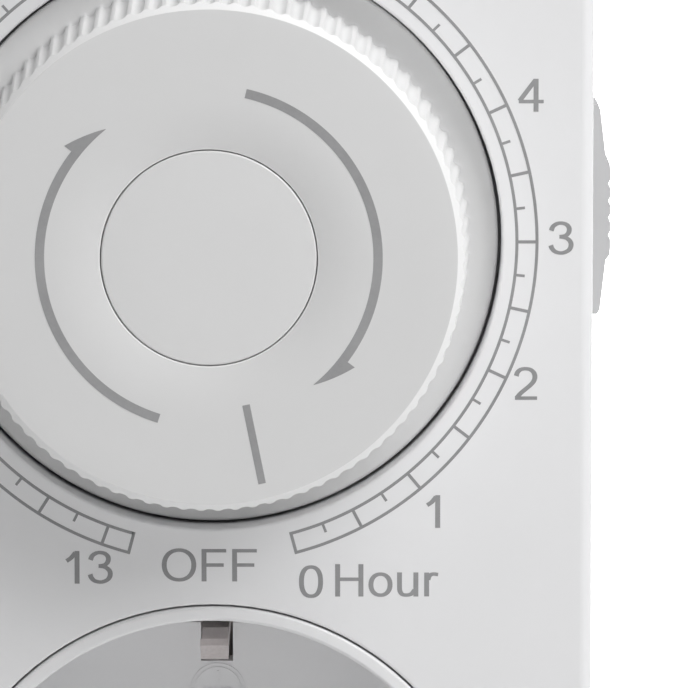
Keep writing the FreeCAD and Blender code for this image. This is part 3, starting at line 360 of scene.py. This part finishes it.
# ---------------------------------------------------------------- knob
FLUTES = 90
PER = 16
COLS = FLUTES * PER
PITCH = 2 * math.pi / FLUTES
CUT_R = 0.50            # cutter radius of a flute
CUT_D = 0.32            # flute depth
CUT_TOP = -66.44        # the flutes run out in the lower half of the chamfer


def crest(y):
    """Radius of the fluted side at a height."""
    t = (y - (-66.25)) / (SKIRT_TOP - (-66.25))
    return 18.76 + (19.30 - 18.76) * t


def flute_depth(s, y, r):
    """Depth cut from the crest at arc distance s from the flute's middle."""
    end = CUT_TOP + 0.30
    dy = max(0.0, end - y) * 1.5
    d = s * s + dy * dy
    if d >= CUT_R * CUT_R:
        return 0.0
    cut = math.sqrt(CUT_R * CUT_R - d) - (CUT_R - CUT_D)
    return max(0.0, cut)


def knob_mesh():
    outer = []          # (y, r, fluted)
    # cap seat and its edge
    outer += [(KNOB_FACE + 1.5, 3.2, 0), (KNOB_FACE + 1.5, 7.97, 0), (KNOB_FACE + 0.10, 7.97, 0),
              (KNOB_FACE + 0.03, 8.00, 0), (KNOB_FACE, 8.06, 0), (KNOB_FACE, 12.0, 0), (KNOB_FACE, 16.0, 0),
              (KNOB_FACE, 18.15, 0)]
    # chamfer with a small round at each side
    outer += [(KNOB_FACE + 0.005, 18.21, 0), (KNOB_FACE + 0.03, 18.25, 0), (KNOB_FACE + 0.08, 18.31, 0)]
    for k in range(1, 9):
        outer.append((KNOB_FACE + 0.08 + 0.04 * k, 18.31 + 0.05 * k, 1))
    outer += [(KNOB_FACE + 0.44, 18.74, 1), (KNOB_FACE + 0.48, crest(KNOB_FACE + 0.48), 1)]
    y = KNOB_FACE + 0.52
    while y < CUT_TOP + 0.56:
        outer.append((y, crest(y), 1))
        y += 0.055
    for y in (-65.2, -64.0, -62.0, -59.5, -57.0, -55.0, -54.2, -53.8):
        outer.append((y, crest(y), 1))
    outer += [(-53.62, crest(-53.62) + 0.015, 1), (-53.54, crest(-53.54) + 0.07, 2), (SKIRT_TOP, 19.50, 0),
              (SKIRT_TOP, 20.3, 0), (SKIRT_TOP, 21.13, 0)]
    outer += [(yy, rr, 0) for yy, rr in arc_points(SKIRT_TOP + 0.28, 21.16, 0.28, 82, 0, 7)]
    outer += [(-52.1, 21.44, 0), (-52.0, 21.36, 0), (-52.0, 17.4, 0), (-64.2, 16.82, 0), (-64.3, 16.7, 0),
              (-64.3, 4.6, 0), (-51.4, 4.6, 0), (-51.4, 2.5, 0), (-62.0, 2.5, 0), (-62.0, 1.4, 0), (-63.2, 1.4, 0),
              (-63.2, 3.2, 0)]
    verts, faces = [], []
    for y, r, fl in outer:
        for k in range(COLS):
            a = 2 * math.pi * k / COLS
            rr = r
            if fl:
                off = ((a / PITCH + 0.5) % 1.0 - 0.5) * PITCH * r
                cut = flute_depth(off, y, r)
                # the crests between the flutes are rounded over at their edges
                half = 0.5 * PITCH * r
                edge = max(0.0, 1.0 - (half - abs(off)) / 0.22)
                if cut < 1e-6:
                    cut = 0.035 * (1.0 - edge) ** 2
                rr = min(r, crest(y) - cut) if fl == 1 else r - cut * 0.55
            verts.append((rr * math.sin(a), y, AXIS_Z + rr * math.cos(a)))
    n = len(outer)
    for i in range(n):
        i2 = (i + 1) % n
        for k in range(COLS):
            k2 = (k + 1) % COLS
            faces.append((i * COLS + k, i2 * COLS + k, i2 * COLS + k2, i * COLS + k2))
    return verts, faces


verts, faces = knob_mesh()
knob = make("knob_body", verts, faces, M["knob"], "dial", 32.0)
# the flat face has its own finer grain and a greyer tone than the sides of the same moulding; that grey is painted
# shade on the face that looks to the front, away from the key light
knob.data.materials.append(KNOB_FACE_SHADED)
for poly in knob.data.polygons:
    if abs(poly.center.y - KNOB_FACE * MM) < 4e-6 and poly.normal.y < -0.9:
        poly.material_index = 1
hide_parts("knob")

cap = lathe("cap_disc", [
    (-66.72, 0.0), (-66.72, 4.0), (-66.72, 7.74)] + arc_points(-66.72 + 0.14, 7.75, 0.14, 80, 0, 5) +
    [(-65.25, 7.89), (-65.2, 7.84), (-65.2, 0.0)], M["knob_cap"], "dial", 240, 40.0)
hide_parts("knob_cap")


# ---------------------------------------------------------------- printed marks
def smooth_path(pts, closed=False, per=7):
    """Catmull-Rom points through a list of points."""
    out = []
    n = len(pts)
    for i in range(n if closed else n - 1):
        p1, p2 = pts[i], pts[(i + 1) % n]
        p0 = pts[i - 1] if (closed or i > 0) else (2 * p1[0] - p2[0], 2 * p1[1] - p2[1])
        p3 = pts[(i + 2) % n] if (closed or i + 2 < n) else (2 * p2[0] - p1[0], 2 * p2[1] - p1[1])
        for k in range(per):
            t = k / per
            out.append(tuple(
                0.5 * (2 * p1[j] + (p2[j] - p0[j]) * t + (2 * p0[j] - 5 * p1[j] + 4 * p2[j] - p3[j]) * t * t +
                       (-p0[j] + 3 * p1[j] - 3 * p2[j] + p3[j]) * t ** 3) for j in (0, 1)))
    if not closed:
        out.append(pts[-1])
    return out


class Print:
    """Thin raised ink on a plane facing the front: strokes drawn as ribbons with real thickness."""

    def __init__(self, name, plane, material, body, slot=None, film=0.012):
        self.name, self.plane, self.material, self.body, self.slot, self.film = name, plane, material, body, slot, film
        self.verts, self.faces, self.count = [], [], 0

    def ribbon(self, pts, width, closed=False):
        n = len(pts)
        left, right = [], []
        for i, p in enumerate(pts):
            a = pts[i - 1] if (i > 0 or closed) else pts[i]
            b = pts[(i + 1) % n] if (i < n - 1 or closed) else pts[i]
            dx, dz = b[0] - a[0], b[1] - a[1]
            ln = math.hypot(dx, dz) or 1.0
            dx, dz = dx / ln, dz / ln
            # keep the width at a corner
            c = 1.0
            if (i > 0 or closed) and (i < n - 1 or closed):
                ux, uz = p[0] - a[0], p[1] - a[1]
                ul = math.hypot(ux, uz) or 1.0
                c = max(0.5, abs(ux / ul * dx + uz / ul * dz))
            w = (width(dx, dz) if callable(width) else width) / 2 / c
            left.append((p[0] - dz * w, p[1] + dx * w))
            right.append((p[0] + dz * w, p[1] - dx * w))
        self.band(left, right, closed)

    def band(self, left, right, closed=False):
        n = len(left)
        base = len(self.verts)
        # crossing strokes lie one on the other, so they never share a surface
        self.count += 1
        y0, y1 = self.plane - self.film - 0.0012 * (self.count % 5), self.plane + self.film + 0.002 * (self.count % 5)
        for i in range(n):
            self.verts += [(left[i][0], y0, left[i][1]), (right[i][0], y0, right[i][1]),
                           (right[i][0], y1, right[i][1]), (left[i][0], y1, left[i][1])]
        for i in range(n if closed else n - 1):
            a, b = base + 4 * i, base + 4 * ((i + 1) % n)
            for k in range(4):
                k2 = (k + 1) % 4
                self.faces.append((a + k, a + k2, b + k2, b + k))
        if not closed:
            self.faces.append((base, base + 1, base + 2, base + 3))
            e = base + 4 * (n - 1)
            self.faces.append((e + 3, e + 2, e + 1, e))

    def build(self):
        return make(self.name, self.verts, self.faces, self.material, self.body, 30.0)


THIN, THICK = 0.26, 0.37


def pen(dx, dz):
    """Stroke width by direction: uprights are heavier than bars."""
    return THIN + (THICK - THIN) * abs(dz) ** 1.5


def ellipse(cx, cz, rx, rz, power=2.25, n=40):
    out = []
    for k in range(n):
        a = 2 * math.pi * k / n
        c, s = math.cos(a), math.sin(a)
        out.append((cx + rx * math.copysign(abs(c) ** (2 / power), c), cz + rz * math.copysign(abs(s) ** (2 / power), s)))
    return out


SIX = [("loop", ellipse(0.88, 0.80, 0.70, 0.67)),
       ("curve", [(1.50, 1.90), (1.36, 2.19), (1.00, 2.34), (0.62, 2.24), (0.32, 1.86), (0.19, 1.30), (0.18, 0.90)])]
GLYPH = {
    "0": (1.76, [("loop", ellipse(0.88, 1.24, 0.72, 1.11, 2.35))]),
    "1": (1.02, [("line", [(0.85, 0.0), (0.85, 2.48)]), ("curve", [(0.06, 1.72), (0.40, 1.96), (0.72, 2.34)])]),
    "2": (1.76, [("curve", [(0.15, 1.80), (0.25, 2.08), (0.48, 2.28), (0.84, 2.35), (1.20, 2.28), (1.46, 2.06),
                            (1.55, 1.74), (1.46, 1.42), (1.20, 1.10), (0.82, 0.78), (0.46, 0.47), (0.17, 0.13)]),
                 ("line", [(0.06, 0.13), (1.72, 0.13)])]),
    "3": (1.77, [("curve", [(0.12, 1.80), (0.25, 2.10), (0.54, 2.31), (0.88, 2.36), (1.24, 2.26), (1.45, 2.00),
                            (1.42, 1.66), (1.18, 1.42), (0.74, 1.34)]),
                 ("curve", [(0.74, 1.34), (1.22, 1.25), (1.53, 1.00), (1.60, 0.68), (1.46, 0.36), (1.14, 0.17),
                            (0.80, 0.12), (0.42, 0.22), (0.18, 0.46), (0.09, 0.70)])]),
    "4": (1.92, [("line", [(1.33, 0.0), (1.33, 2.46)]), ("line", [(0.04, 0.76), (1.90, 0.76)]),
                 ("line", [(1.28, 2.36), (0.10, 0.80)])]),
    "5": (1.77, [("line", [(0.44, 2.34), (1.60, 2.34)]), ("line", [(0.48, 2.34), (0.27, 1.24)]),
                 ("curve", [(0.27, 1.24), (0.55, 1.47), (0.92, 1.54), (1.30, 1.42), (1.56, 1.13), (1.60, 0.78),
                            (1.46, 0.40), (1.14, 0.17), (0.80, 0.12), (0.42, 0.21), (0.12, 0.56)])]),
    "6": (1.77, SIX),
    "7": (1.74, [("line", [(0.08, 2.34), (1.66, 2.34)]),
                 ("curve", [(1.60, 2.30), (1.20, 1.68), (0.90, 0.98), (0.70, 0.0)])]),
    "8": (1.77, [("loop", ellipse(0.88, 1.83, 0.56, 0.51, 2.1)), ("loop", ellipse(0.88, 0.70, 0.70, 0.58, 2.1))]),
    "9": (1.77, [(k, [(1.76 - x, 2.48 - z) for x, z in p]) for k, p in SIX]),
    "O": (2.58, [("loop", ellipse(1.29, 1.25, 1.11, 1.13, 2.15, 56))]),
    "F": (1.86, [("line", [(0.18, 0.0), (0.18, 2.46)]), ("line", [(0.30, 2.33), (1.85, 2.33)]),
                 ("line", [(0.30, 1.24), (1.66, 1.24)])]),
    "H": (2.12, [("line", [(0.18, 0.0), (0.18, 2.46)]), ("line", [(1.93, 0.0), (1.93, 2.46)]),
                 ("line", [(0.30, 1.31), (1.82, 1.31)])]),
    "o": (1.78, [("loop", ellipse(0.89, 0.92, 0.72, 0.80, 2.15))]),
    "u": (1.57, [("curve", [(0.17, 1.83), (0.17, 0.80), (0.20, 0.42), (0.38, 0.17), (0.70, 0.11), (1.06, 0.20),
                            (1.30, 0.48)]),
                 ("line", [(1.40, 0.0), (1.40, 1.83)])]),
    "r": (1.06, [("line", [(0.17, 0.0), (0.17, 1.81)]), ("curve", [(0.27, 1.28), (0.40, 1.58), (0.66, 1.70), (1.03, 1.66)])]),
}


def write(pr, text, x, z, gap=0.30):
    """Draws text with its left edge at x and its base line at z."""
    for ch in text:
        w, strokes = GLYPH[ch]
        for kind, pts in strokes:
            if kind == "curve":
                pts = smooth_path(pts)
            pr.ribbon([(x + px, z + pz) for px, pz in pts], pen, kind == "loop")
        x += w + gap
    return x - gap


def text_width(text, gap):
    return sum(GLYPH[c][0] for c in text) + gap * (len(text) - 1)


INNER, OUTER, LINE = 22.80, 24.30, 0.225
scale = Print("hour_scale_lines", PANEL, INK, "root")


def on_circle(r, deg, cx=0.0, cz=AXIS_Z):
    a = math.radians(deg)
    return (cx + r * math.cos(a), cz + r * math.sin(a))


for r in (INNER, OUTER):
    steps = 264
    scale.ribbon([on_circle(r, -75.0 + 330.0 * k / steps) for k in range(steps + 1)], LINE)
ends = (-75.0, 255.0)
for k in range(27):
    deg = -75.0 + 12.5 * k
    if deg <= 251:
        r0 = INNER - LINE / 2 if deg in ends else INNER + LINE / 2
        r1 = OUTER + LINE / 2 if deg in ends else OUTER - LINE / 2
        scale.ribbon([on_circle(r0, deg), on_circle(r1, deg)], 0.235)
    if deg + 6.25 <= 251:
        scale.ribbon([on_circle(INNER + LINE / 2, deg + 6.25), on_circle(INNER + LINE / 2 + 0.62, deg + 6.25)], 0.20)
scale.ribbon([on_circle(INNER - LINE / 2, 255.0), on_circle(OUTER + LINE / 2, 255.0)], 0.235)
scale.build()

labels = Print("hour_scale_numbers", PANEL, INK, "root")
write(labels, "3", 25.24, AXIS_Z - 0.95)
write(labels, "4", 22.86, AXIS_Z + 9.76)
write(labels, "2", 22.63, AXIS_Z - 11.90)
write(labels, "1", 16.07, AXIS_Z - 21.60)
write(labels, "1", -11.02, AXIS_Z - 25.84)
write(labels, "3", -9.28, AXIS_Z - 25.84)
write(labels, "O", -3.80, AXIS_Z - 25.67)
write(labels, "F", -0.81, AXIS_Z - 25.67)
write(labels, "F", 1.49, AXIS_Z - 25.67)
write(labels, "0", 6.53, AXIS_Z - 26.93)
write(labels, "H", 9.23, AXIS_Z - 26.82)
write(labels, "o", 11.74, AXIS_Z - 26.84)
write(labels, "u", 13.89, AXIS_Z - 26.82)
write(labels, "r", 15.93, AXIS_Z - 26.81)
for num, deg, rad, gap in (("5", 50, 26.3, 0), ("6", 75, 26.3, 0), ("7", 100, 26.3, 0), ("8", 125, 26.3, 0),
                           ("9", 150, 26.3, 0), ("10", 175, 26.2, 0.18), ("11", 200, 26.2, 0.34),
                           ("12", 225, 26.6, 0.28)):
    x, z = on_circle(rad, deg)
    write(labels, num, x - text_width(num, gap) / 2, z - 1.24, gap)
labels.build()

# two turning arrows and the pointer line on the knob face
FACE_INK = KNOB_FACE
marks = Print("knob_arrows", FACE_INK, INK_KNOB, "dial")


def cw(r, deg):
    """A point of the face, by angle clockwise from straight up."""
    a = math.radians(deg)
    return (r * math.sin(a), AXIS_Z + r * math.cos(a))


def turning_arrow(start, tip):
    """An arc arrow: the shaft narrows to its tip, and half a barb stands on its outer side."""
    R, W = 12.38, 0.68
    neck = tip - 13.6
    n = 60
    pts = [cw(R, start + (neck - start) * k / n) for k in range(n + 1)]
    marks.ribbon(pts, W)
    # head: from the neck, the inner edge runs on to the tip and the outer edge steps out to the barb
    m = 14
    inner, outer = [], []
    for k in range(m + 1):
        t = k / m
        deg = neck + (tip - neck) * t
        inner.append(cw(R - W / 2 + 0.02 * t, deg))
        outer.append(cw(R - W / 2 + 0.02 * t + (W + 0.62) * (1.0 - t) + 0.03, deg))
    marks.band(inner, outer)


turning_arrow(12.69, 140.62)
turning_arrow(197.31, 321.67)
marks.ribbon([cw(11.16, 166.0), cw(17.10, 166.9)], 0.56)
marks.build()

# ---------------------------------------------------------------- raised protective earth mark on the socket floor
relief = Print("earth_mark_relief", SOCKET_FLOOR, M["socket"], "root", "socket", film=0.10)
for r in (1.78, 2.08):
    relief.ribbon([on_circle(r, 360.0 * k / 72, 0.07, 11.6) for k in range(72)], 0.13, closed=True)
relief.ribbon([(0.07, 13.15), (0.07, 11.80)], 0.16)
for z, half in ((11.72, 1.05), (11.28, 0.70), (10.84, 0.36)):
    relief.ribbon([(0.07 - half, z), (0.07 + half, z)], 0.16)
relief.build()

# ---------------------------------------------------------------- stage
def stage_mesh():
    """A plain flat floor, open on every side."""
    mesh = bpy.data.meshes.new("studio_floor")
    mesh.from_pydata([(-4.0, -4.0, -0.0286), (4.0, -4.0, -0.0286), (4.0, 4.0, -0.0286), (-4.0, 4.0, -0.0286)],
                     [], [(0, 1, 2, 3)])
    o = bpy.data.objects.new("studio_floor", mesh)
    scene.collection.objects.link(o)
    s = Shader("studio_paper")
    s.color(s.ramp(s.noise(6.0, 3.0), [(0.3, rgb(243, 243, 243)), (0.7, rgb(247, 247, 247))]))
    s.roughness(s.span(s.noise(900.0), 0.7, 0.85))
    s.bump([(s.noise(1500.0), 0.2, 1e-5)])
    mesh.materials.append(s.mat)
    return o


stage_mesh()

world = bpy.data.worlds.new("studio")
scene.world = world
world.use_nodes = True
bg = world.node_tree.nodes["Background"]
bg.inputs[0].default_value = (1.0, 1.0, 1.0, 1.0)
bg.inputs[1].default_value = 0.12
# seen directly the room is white, but it lights the object only softly
white = world.node_tree.nodes.new("ShaderNodeBackground")
white.inputs[1].default_value = 1.0
ray = world.node_tree.nodes.new("ShaderNodeLightPath")
mix = world.node_tree.nodes.new("ShaderNodeMixShader")
world.node_tree.links.new(ray.outputs["Is Camera Ray"], mix.inputs[0])
world.node_tree.links.new(bg.outputs[0], mix.inputs[1])
world.node_tree.links.new(white.outputs[0], mix.inputs[2])
world.node_tree.links.new(mix.outputs[0], world.node_tree.nodes["World Output"].inputs[0])


def area(name, loc, target, size, power, size_y=None):
    d = bpy.data.lights.new(name, "AREA")
    d.shape = "RECTANGLE"
    d.size = size
    d.size_y = size_y or size
    d.energy = power
    o = bpy.data.objects.new(name, d)
    scene.collection.objects.link(o)
    o.location = loc
    o.rotation_euler = (Vector(target) - Vector(loc)).to_track_quat("-Z", "Y").to_euler()
    o.visible_camera = False
    return o


aim = (0.0, -0.056, 0.035)
area("key_right_high", (0.200, -0.280, 0.330), aim, 0.30, 1.44)
area("key_right_side", (0.647, -0.113, 0.410), aim, 0.40, 0.60)
area("overhead", (-0.100, -0.120, 0.600), aim, 0.40, 0.60)
area("fill_front", (0.000, -0.855, 0.326), aim, 0.50, 0.28)
wash = area("floor_wash", (0.180, 0.780, 0.720), (0.1, 0.74, -0.0286), 0.40, 13.0)
wash.data.spread = math.radians(96.0)        # it lights the paper behind, and hardly the object
